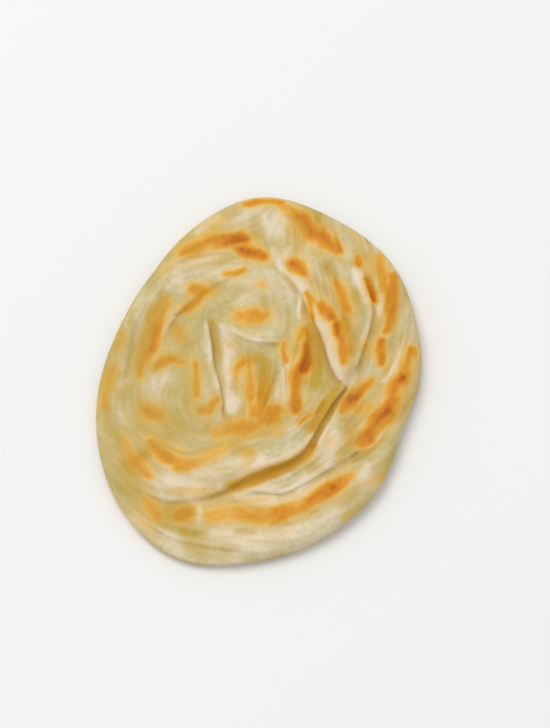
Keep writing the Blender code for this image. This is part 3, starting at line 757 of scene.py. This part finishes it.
def painted(kind, marks, at, flow):
    """How strong the marks of a kind are at each point of the upper surface, from 0 to about 1."""
    middle, halo, share, patches = MARK_LOOKS[kind]
    seed = MARK_SEED + SEEDS_TO_A_KIND * list(MARK_LOOKS).index(kind)
    ragged = np.zeros(len(at))
    for k, (amount, width, reach) in enumerate(RAGGED):
        ragged += amount * flow.drawn_out(at, width, reach, seed + k)
    shown = np.zeros(len(at))
    for k, (width, reach, start, strength) in enumerate(patches):
        shown += strength * smooth(flow.drawn_out(at, width, reach, seed + PATCH_SEED + k) - start)
    uneven = 1 - UNEVEN * ragged
    for mark in marks:
        within = (halo + RAGGED_REACH) * mark.half_width
        near, offset, place, _ = beside(curve_through(mark.path), at, within)
        wide = mark.half_width * (1 - TAPER * (2 * place - 1) ** 2)
        far = np.abs(offset) / wide + ragged[near]
        strength = (mark.start + (mark.end - mark.start) * place) * uneven[near]
        patch = strength * ((1 - share) * (1 - smooth(far / middle)) + share * (1 - smooth(far / halo)))
        low, high = np.minimum(patch, shown[near]), np.maximum(patch, shown[near])
        shown[near] = high + OVERLAP * low
    return shown


def as_rings(square):
    """Lays the points of a square grid out as rings: each one's share of the way from the middle to the
    edge, and its angle."""
    across, up = square.T
    share = np.maximum(np.abs(across), np.abs(up))
    wide = np.abs(across) >= np.abs(up)
    larger = np.where(wide, across, up)
    smaller = np.where(wide, up, across)
    slant = math.pi / 4 * smaller / np.where(larger == 0, 1, larger)
    angle = np.where(wide, slant, math.pi / 2 - slant) + np.where(larger < 0, math.pi, 0)
    return np.minimum(share, 1), angle % math.tau


def rim_place(share, radius, reach):
    """How far each ring lies from the middle, and the rise round the rim there, from 0 at the widest line
    to 1. The outer rings are spaced evenly round the rim's curve."""
    flat = 1 - RIM_RINGS
    bend = math.pi / 2 * np.clip((1 - share) / RIM_RINGS, 0, 1)
    inner = share / flat * (radius - reach)
    outer = radius - reach * (1 - np.cos(bend))
    return np.where(share <= flat, inner, outer), np.where(share <= flat, 1.0, np.sin(bend))


def edge_lift(radius, distance, angle):
    """How far the edge curls up off the surface that the bread rests on."""
    return round_table(EDGE_LIFTS, angle) * smooth(1 - (radius - distance) / LIFT_REACH)


def groove_side(points, share, angle):
    """Draws the side in along the lines between stacked layers."""
    outward = np.column_stack([np.cos(angle), np.sin(angle)])
    edge_share = smooth((share - 1 + 2 * RIM_RINGS) / RIM_RINGS)
    for k, (middle, wave, depth) in enumerate(SIDE_GROOVES):
        line = np.full(len(angle), middle)
        for part, turns, shift in SIDE_WAVES:
            line += part * wave * np.sin(turns * angle + shift * k)
        spots = np.column_stack([outward * GROOVE_NOISE, np.full(len(angle), GROOVE_SLICE + k)])
        broken = GROOVE_SHARE + GROOVE_CHANGE * noise_at(spots)
        pull = depth * broken * np.exp(-(((points[:, 2] - line) / SIDE_GROOVE_HALF) ** 2)) * edge_share
        points[:, :2] -= pull[:, None] * outward


def top_sheet(share, angle, dough):
    """The upper surface: its points, and how strongly each mark shows at them."""
    radius = round_table(OUTLINE_RADII, angle)
    distance, rise = rim_place(share, radius, RIM_REACH)
    at = np.column_stack([distance * np.cos(angle), distance * np.sin(angle)])
    relief = Relief(len(at))
    for fold in FOLDS.values():
        relief.add_fold(fold, at, dough.fold_height)
    for pleat in PLEATS:
        relief.add_pleat(pleat, at, dough.fold_height)
    for puff in PUFFS:
        relief.add_puff(puff, at)
    seen = at + relief.shift[:, :2]
    flow = Flow([fold.path for fold in FOLDS.values()] + [pleat.path for pleat in PLEATS])
    kinds = {"toast": TOASTS, "yellow": YELLOWS_AND_SHADE, "pale": PALES_AND_HIGHLIGHTS}
    marks = {kind: painted(kind, table, seen, flow) for kind, table in kinds.items()}
    # The lips' painted highlight and the creases' painted shade
    marks["lip"] = relief.lip
    marks["crease"] = relief.crease
    marks["streak"] = flow.drawn_out(at, *COLOUR_STREAK, COLOUR_SEED)
    relief.shift[:, 2] += soft_wave(at) + dough.grain_height / MM * fine_relief(at, flow)
    inward = smooth((radius - distance - RIM_REACH) / MIDDLE_REACH)
    level = MIDDLE_HEIGHT * inward + round_table(RIM_HEIGHTS, angle) * (1 - inward)
    height = WIDEST_AT + rise * (level - WIDEST_AT) + edge_lift(radius, distance, angle)
    points = np.column_stack([at, height]) + rise[:, None] * relief.shift
    return points, marks


def coil_path():
    """The underside's spiral, from its flat middle outwards."""
    turned = np.linspace(0, COIL_TURNS * math.tau, COIL_STEPS)
    distance = np.linspace(COIL_START, COIL_END, COIL_STEPS)
    return np.column_stack([distance * np.cos(turned), distance * np.sin(turned)])


def under_sheet(share, angle):
    """The underside: flat where the bread rests, with the coil's groove and a rounded, toasted edge."""
    radius = round_table(OUTLINE_RADII, angle)
    distance, rise = rim_place(share, radius, FOOT_REACH)
    at = np.column_stack([distance * np.cos(angle), distance * np.sin(angle)])
    near, offset, place, _ = beside(coil_path(), at, COIL_HALF)
    height = WIDEST_AT * (1 - rise) + edge_lift(radius, distance, angle)
    groove = fading(place, COIL_ENDS) * (1 - (offset / COIL_HALF) ** 2) ** 2
    height[near] += COIL_DEPTH * groove
    # Painted shade in the coil's groove
    crease = np.zeros(len(at))
    crease[near] = groove
    around = Flow([coil_path()])
    patches = np.zeros(len(at))
    for k, (width, reach, strength) in enumerate(UNDER_PATCHES):
        patches += strength * around.drawn_out(at, width, reach, UNDER_SEED + k)
    marks = {"crease": crease, "lip": np.zeros(len(at))}
    for kind, (start, length, strength) in UNDER_LOOKS.items():
        marks[kind] = strength * smooth((patches - start) / length)
    marks["toast"] *= rise
    marks["yellow"] *= rise
    marks["streak"] = around.drawn_out(at, *COLOUR_STREAK, UNDER_SEED + len(UNDER_PATCHES))
    return np.column_stack([at, height]), marks


def fitted(points, low, high):
    """The points, in metres, stretched from their own box to the one given: the body of the bread to its
    own share of the height, and the highest folds up to the top."""
    own_low, own_high = points.min(0), points.max(0)
    share = (points - own_low) / (own_high - own_low)
    share[:, 2] *= BODY_SHARE + (1 - BODY_SHARE) * share[:, 2] ** PEAK_POWER
    return np.array(low) + share * (np.array(high) - np.array(low))


def add_sheet(body, rings, facing_up):
    """Adds a square grid to the mesh and gives its points, as rings, with each one's share and angle."""
    grid = bmesh.ops.create_grid(body, x_segments=2 * rings, y_segments=2 * rings, size=1)["verts"]
    if not facing_up:
        bmesh.ops.reverse_faces(body, faces=list({face for vertex in grid for face in vertex.link_faces}))
    share, angle = as_rings(np.array([vertex.co[:2] for vertex in grid]))
    return grid, share, angle


def bread_mesh(dough, low, high):
    """The closed mesh of the bread: an upper surface and a coarser underside, which stops one ring short of
    the widest line, joined by a ring of faces."""
    body = bmesh.new()
    upper, share, angle = add_sheet(body, TOP_RINGS, True)
    top, marks = top_sheet(share, angle, dough)
    groove_side(top, share, angle)
    under, share, angle = add_sheet(body, UNDER_RINGS, False)
    share *= 1 - 1 / UNDER_RINGS
    bottom, under_marks = under_sheet(share, angle)
    groove_side(bottom, share, angle)
    for vertex, point in zip(upper + under, fitted(np.vstack([top, bottom]), low, high)):
        vertex.co = point
    bmesh.ops.bridge_loops(body, edges=[edge for edge in body.edges if edge.is_boundary])
    mesh = bpy.data.meshes.new("flatbread_fine")
    body.to_mesh(mesh)
    body.free()
    for name, values in marks.items():
        shown = mesh.attributes.new(name, "FLOAT", "POINT")
        shown.data.foreach_set("value", np.concatenate([values, under_marks[name]]).astype(np.float32))
    mesh.shade_smooth()
    return mesh


class Nodes:
    """A material's node tree, with its nodes added in short calls."""

    def __init__(self, name):
        self.material = bpy.data.materials.new(name)
        self.material.use_nodes = True
        self.tree = self.material.node_tree
        self.shader = self.tree.nodes["Principled BSDF"]

    def put(self, socket, value):
        """Links a socket to another, or sets its value."""
        if isinstance(value, bpy.types.NodeSocket):
            self.tree.links.new(value, socket)
        else:
            socket.default_value = value

    def add(self, kind, settings=None, **inputs):
        """A node of that kind, with its settings and its inputs by name."""
        node = self.tree.nodes.new(kind)
        for name, value in (settings or {}).items():
            setattr(node, name, value)
        for name, value in inputs.items():
            self.put(node.inputs[name], value)
        return node

    def mark(self, name):
        """One of the mesh's own values."""
        return self.add("ShaderNodeAttribute", {"attribute_name": name}).outputs["Fac"]

    def math(self, operation, first, second):
        """Arithmetic on two values."""
        node = self.tree.nodes.new("ShaderNodeMath")
        node.operation = operation
        self.put(node.inputs[0], first)
        self.put(node.inputs[1], second)
        return node.outputs["Value"]

    def noise(self, place, length, detail=2.0, roughness=0.5):
        """Noise over that length, in metres, as a value about 0.5."""
        inputs = {"Vector": place, "Scale": 1 / length, "Detail": detail, "Roughness": roughness}
        return self.add("ShaderNodeTexNoise", **inputs).outputs["Fac"]

    def spread(self, value, low, high, to_low=0.0, to_high=1.0):
        """The value's range from low to high, mapped to another range and held in it."""
        inputs = {"Value": value, "From Min": low, "From Max": high, "To Min": to_low, "To Max": to_high}
        return self.add("ShaderNodeMapRange", **inputs).outputs["Result"]

    def uneven(self, value, to_low, to_high):
        """Noise, mapped to a range of its own."""
        return self.spread(value, *NOISE_RANGE, to_low, to_high)

    def changed(self, value, marks, shares):
        """The value with each of the marks named in shares added to it, by its share."""
        for name, share in shares.items():
            value = self.math("ADD", value, self.math("MULTIPLY", marks[name], share))
        return value

    def blend(self, share, first, second):
        """One colour going over to another."""
        node = self.tree.nodes.new("ShaderNodeMix")
        node.data_type = "RGBA"
        self.put(node.inputs["Factor"], share)
        self.put(node.inputs["A"], first)
        self.put(node.inputs["B"], second)
        return node.outputs["Result"]

    def ramp(self, value, stops):
        """A colour ramp over the value, from (place, colour) stops."""
        node = self.add("ShaderNodeValToRGB", Fac=value)
        points = node.color_ramp.elements
        stops = tuple(stops)
        while len(points) < len(stops):
            points.new(1.0)
        for point, (place, colour) in zip(points, stops):
            point.position = place
            point.color = tuple(colour)
        return node.outputs["Color"]


def toasted_dough(dough):
    """Cream dough with painted crease shade and lip highlights, toasted gold to brown, with an oily sheen.
    """
    made = Nodes("toasted_dough_fine")
    place = made.add("ShaderNodeTexCoord").outputs["Object"]
    marks = {name: made.mark(name) for name in ("toast", "yellow", "pale", "lip", "crease", "streak")}
    mottle = made.noise(place, *MOTTLE)
    patchy = made.noise(place, *PATCHY)
    fine = made.noise(place, *FINE)
    # Paler dough, with the painted highlights on the lips and the pale marks
    light = made.changed(made.spread(patchy, *PATCHY_PALER), marks, PALER_AND_HIGHLIGHTED)
    light = made.math("ADD", light, made.uneven(fine, *FINE_PALER))
    light = made.math("ADD", light, made.uneven(mottle, *MOTTLE_PALER))
    base = made.blend(made.spread(light, 0.0, 1.0), tuple(dough.dough_colour), tuple(dough.pale_and_highlight_colour))
    deep = made.math("MULTIPLY", marks["yellow"], made.uneven(mottle, *MOTTLE_YELLOWER))
    deep = made.math("ADD", deep, made.spread(patchy, *PATCHY_YELLOWER))
    deep = made.changed(deep, marks, YELLOWER)
    base = made.blend(made.spread(deep, 0.0, 1.0), base, tuple(dough.yellow_colour))
    # Painted shade in the creases, less under the pale marks
    crease = made.changed(marks["crease"], marks, CREASE_SHADE_CLEARED)
    base = made.blend(made.spread(crease, *CREASE_SHADE_SHOWN), base, tuple(dough.crease_shade_colour))
    amount = made.math("MULTIPLY", marks["toast"], made.spread(mottle, *MOTTLE_TOAST))
    streaks = made.math("MULTIPLY", marks["streak"], made.math("MULTIPLY", marks["toast"], STREAK_TOAST))
    amount = made.math("ADD", amount, streaks)
    colours = (dough.gold_colour, dough.amber_colour, dough.brown_colour, dough.scorch_colour)
    toasted = made.ramp(made.math("MULTIPLY", amount, TOAST_REACH), zip(TOAST_STOPS, colours))
    toasted = made.blend(made.spread(marks["yellow"], *OCHRE_SHOWN), toasted, tuple(dough.ochre_colour))
    colour = made.blend(made.spread(amount, *TOAST_SHOWN), base, toasted)
    made.put(made.shader.inputs["Base Color"], colour)
    gloss = made.math("ADD", made.uneven(patchy, *PATCHY_ROUGHER), made.uneven(fine, *FINE_ROUGHER))
    made.put(made.shader.inputs["Roughness"], made.math("ADD", gloss, dough.roughness))
    made.shader.inputs["Subsurface Weight"].default_value = UNDER_LIGHT
    made.shader.inputs["Subsurface Radius"].default_value = UNDER_LIGHT_COLOUR
    made.shader.inputs["Subsurface Scale"].default_value = UNDER_LIGHT_DEPTH
    made.shader.inputs["Specular IOR Level"].default_value = SHINE
    made.shader.inputs["Coat Weight"].default_value = dough.oil
    made.shader.inputs["Coat Roughness"].default_value = OIL_ROUGHNESS
    relief = made.math("ADD", fine, made.math("MULTIPLY", mottle, MOTTLE_BUMP))
    bump = made.add("ShaderNodeBump", Strength=BUMP_STRENGTH, Distance=BUMP_DEPTH, Height=relief)
    made.put(made.shader.inputs["Normal"], bump.outputs["Normal"])
    return made.material


def plain_material(name, colour, roughness):
    """A plain matt finish."""
    made = Nodes(name)
    place = made.add("ShaderNodeTexCoord").outputs["Object"]
    faint = made.noise(place, FLOOR_GRAIN)
    made.shader.inputs["Base Color"].default_value = colour
    change = made.uneven(faint, roughness - FLOOR_CHANGE, roughness + FLOOR_CHANGE)
    made.put(made.shader.inputs["Roughness"], change)
    return made.material


def colour_setting(name, description, default):
    """A colour that the user can change."""
    return FloatVectorProperty(
        name=name, description=description, default=default, size=4, min=0.0, max=1.0, subtype="COLOR"
    )


class FlatbreadDough(bpy.types.PropertyGroup):
    """The bread's own sizes and colours."""

    fold_height: FloatProperty(
        name="Fold Height", description="How high the folds stand, against the packed model's", default=1.0,
        min=0.2, max=1.2, subtype="FACTOR",
    )
    grain_height: FloatProperty(
        name="Grain Height", default=0.001, min=0.0, max=0.003, unit="LENGTH", precision=4,
        description="Height of the fine streaks and bumps, where 1 mm is the real dough's",
    )
    roughness: FloatProperty(
        name="Roughness", description="How matt the dough is", default=0.46, min=0.1, max=1.0,
        subtype="FACTOR",
    )
    oil: FloatProperty(
        name="Oil", description="How much oil shines on the surface", default=0.04, min=0.0, max=1.0,
        subtype="FACTOR",
    )
    dough_colour: colour_setting("Dough", "The cooked dough between the toasting", (0.532, 0.45, 0.187, 1))
    # The pale colour also paints the highlights on the lips and ridges
    pale_and_highlight_colour: colour_setting("Pale Dough and Highlights", "The palest dough, as on the lips", (0.79, 0.685, 0.505, 1))
    # The yellow colour also paints shade on the lower right rim
    yellow_colour: colour_setting("Yellow Dough", "The oily, see-through dough", (0.53, 0.355, 0.052, 1))
    # Painted shade in the creases
    crease_shade_colour: colour_setting("Crease Shade", "The dough deep in the creases", (0.50, 0.28, 0.045, 1))
    gold_colour: colour_setting("Light Toasting", "The edge of a toasted patch", (0.8, 0.5, 0.112, 1))
    amber_colour: colour_setting("Toasting", "A toasted patch", (0.72, 0.327, 0.026, 1))
    brown_colour: colour_setting("Dark Toasting", "The middle of a strong patch", (0.64, 0.215, 0.012, 1))
    ochre_colour: colour_setting("Ochre", "Toasting on the oily, yellow dough", (0.545, 0.288, 0.024, 1))
    scorch_colour: colour_setting("Scorching", "The darkest toasting", (0.46, 0.10, 0.006, 1))


class FlatbreadStage(bpy.types.PropertyGroup):
    """The floor, the lights and the camera."""

    floor_colour: colour_setting("Floor", "The plain pale floor", (0.9, 0.9, 0.9, 1))
    floor_size: FloatProperty(
        name="Floor Size", description="Width of the square floor", default=6.0, min=1.0, max=20.0,
        unit="LENGTH",
    )
    sky: FloatProperty(
        name="Sky", description="Strength of the even light all round", default=0.66, min=0.0, max=3.0,
    )
    key_power: FloatProperty(
        name="Key Light", description="Power of the large soft light over the bread", default=24.3, min=0.0,
        max=100.0, unit="POWER",
    )
    camera_elevation: FloatProperty(
        name="Camera Elevation", description="Angle of the camera above the floor",
        default=math.radians(70), min=0.0, max=math.pi / 2, subtype="ANGLE",
    )
    camera_lens: FloatProperty(
        name="Camera Lens", description="Focal length of the camera", default=200.0, min=20.0, max=300.0,
        unit="CAMERA",
    )


class FLATBREAD_OT_bread(bpy.types.Operator):
    """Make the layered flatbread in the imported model's place"""

    bl_idname = "flatbread.bread"
    bl_label = "Flatbread"

    def execute(self, context):
        dough = context.scene.flatbread_dough
        bread = bpy.data.objects.new("flatbread_fine", bread_mesh(dough, *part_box(NODE)))
        context.scene.collection.objects.link(bread)
        bread.data.materials.append(toasted_dough(dough))
        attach(bread, BODY)
        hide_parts(NODE)
        return {"FINISHED"}


def add_key_light(scene, stage):
    """One large soft square light, which shines on the bread's middle."""
    lamp = bpy.data.lights.new("key", "AREA")
    lamp.shape = "SQUARE"
    lamp.size = KEY_SIZE
    lamp.energy = stage.key_power
    lamp.color = KEY_COLOUR
    light = bpy.data.objects.new("key", lamp)
    scene.collection.objects.link(light)
    light.location = KEY_PLACE
    away = Vector(KEY_PLACE).normalized()
    across = Vector((0, 1, 0)).cross(away).normalized()
    light.rotation_euler = Matrix((across, away.cross(across), away)).transposed().to_euler()


class FLATBREAD_OT_stage(bpy.types.Operator):
    """Make the floor, the lights and the camera"""

    bl_idname = "flatbread.stage"
    bl_label = "Stage"

    def execute(self, context):
        stage = context.scene.flatbread_stage
        body = bmesh.new()
        bmesh.ops.create_grid(body, x_segments=1, y_segments=1, size=stage.floor_size / 2)
        mesh = bpy.data.meshes.new("floor")
        body.to_mesh(mesh)
        body.free()
        mesh.materials.append(plain_material("pale_floor", tuple(stage.floor_colour), FLOOR_ROUGHNESS))
        floor = bpy.data.objects.new("floor", mesh)
        context.scene.collection.objects.link(floor)
        world = bpy.data.worlds.new("studio")
        world.use_nodes = True
        sky = world.node_tree.nodes["Background"]
        sky.inputs["Color"].default_value = WHITE
        sky.inputs["Strength"].default_value = stage.sky
        context.scene.world = world
        context.scene.view_settings.view_transform = "Standard"
        add_key_light(context.scene, stage)
        add_camera(context.scene, stage)
        return {"FINISHED"}


def add_camera(scene, stage):
    """A camera at the photograph's angle, which puts the bread's origin on the photograph's pixel."""
    camera = bpy.data.objects.new("camera", bpy.data.cameras.new("camera"))
    scene.collection.objects.link(camera)
    camera.data.lens = stage.camera_lens
    camera.data.sensor_width = SENSOR
    camera.data.clip_start = CLIP_START
    distance = stage.camera_lens / SENSOR * FRAME_HEIGHT / PIXELS_PER_METRE
    elevation = stage.camera_elevation
    back = Vector((0, -math.cos(elevation), math.sin(elevation)))
    up = Vector((0, math.sin(elevation), math.cos(elevation)))
    right = (FRAME_WIDTH / 2 - ORIGIN_PIXEL[0]) / PIXELS_PER_METRE
    higher = (ORIGIN_PIXEL[1] - FRAME_HEIGHT / 2) / PIXELS_PER_METRE
    target = Vector((right, 0, 0)) + up * higher
    camera.location = target + back * distance
    camera.rotation_euler = Matrix((Vector((1, 0, 0)), up, back)).transposed().to_euler()
    scene.camera = camera


class FLATBREAD_PT_panel(bpy.types.Panel):
    """Lists the pieces to make and their settings"""

    bl_idname = "FLATBREAD_PT_panel"
    bl_label = "Layered Flatbread"
    bl_space_type = "VIEW_3D"
    bl_region_type = "UI"
    bl_category = "Flatbread"

    def draw(self, context):
        for operator, settings in (
            (FLATBREAD_OT_bread, context.scene.flatbread_dough),
            (FLATBREAD_OT_stage, context.scene.flatbread_stage),
        ):
            box = self.layout.box()
            box.operator(operator.bl_idname)
            for name in settings.bl_rna.properties.keys():
                if name not in ("rna_type", "name"):
                    box.prop(settings, name)


CLASSES = (FlatbreadDough, FlatbreadStage, FLATBREAD_OT_bread, FLATBREAD_OT_stage, FLATBREAD_PT_panel)


def register():
    """Adds the classes and the scene's settings."""
    for made in CLASSES:
        bpy.utils.register_class(made)
    bpy.types.Scene.flatbread_dough = PointerProperty(type=FlatbreadDough)
    bpy.types.Scene.flatbread_stage = PointerProperty(type=FlatbreadStage)


def unregister():
    """Takes them away again."""
    del bpy.types.Scene.flatbread_stage
    del bpy.types.Scene.flatbread_dough
    for made in reversed(CLASSES):
        bpy.utils.unregister_class(made)


def main():
    """Makes the stage and the bread."""
    register()
    bpy.ops.flatbread.stage()
    bpy.ops.flatbread.bread()


if __name__ == "__main__":
    main()
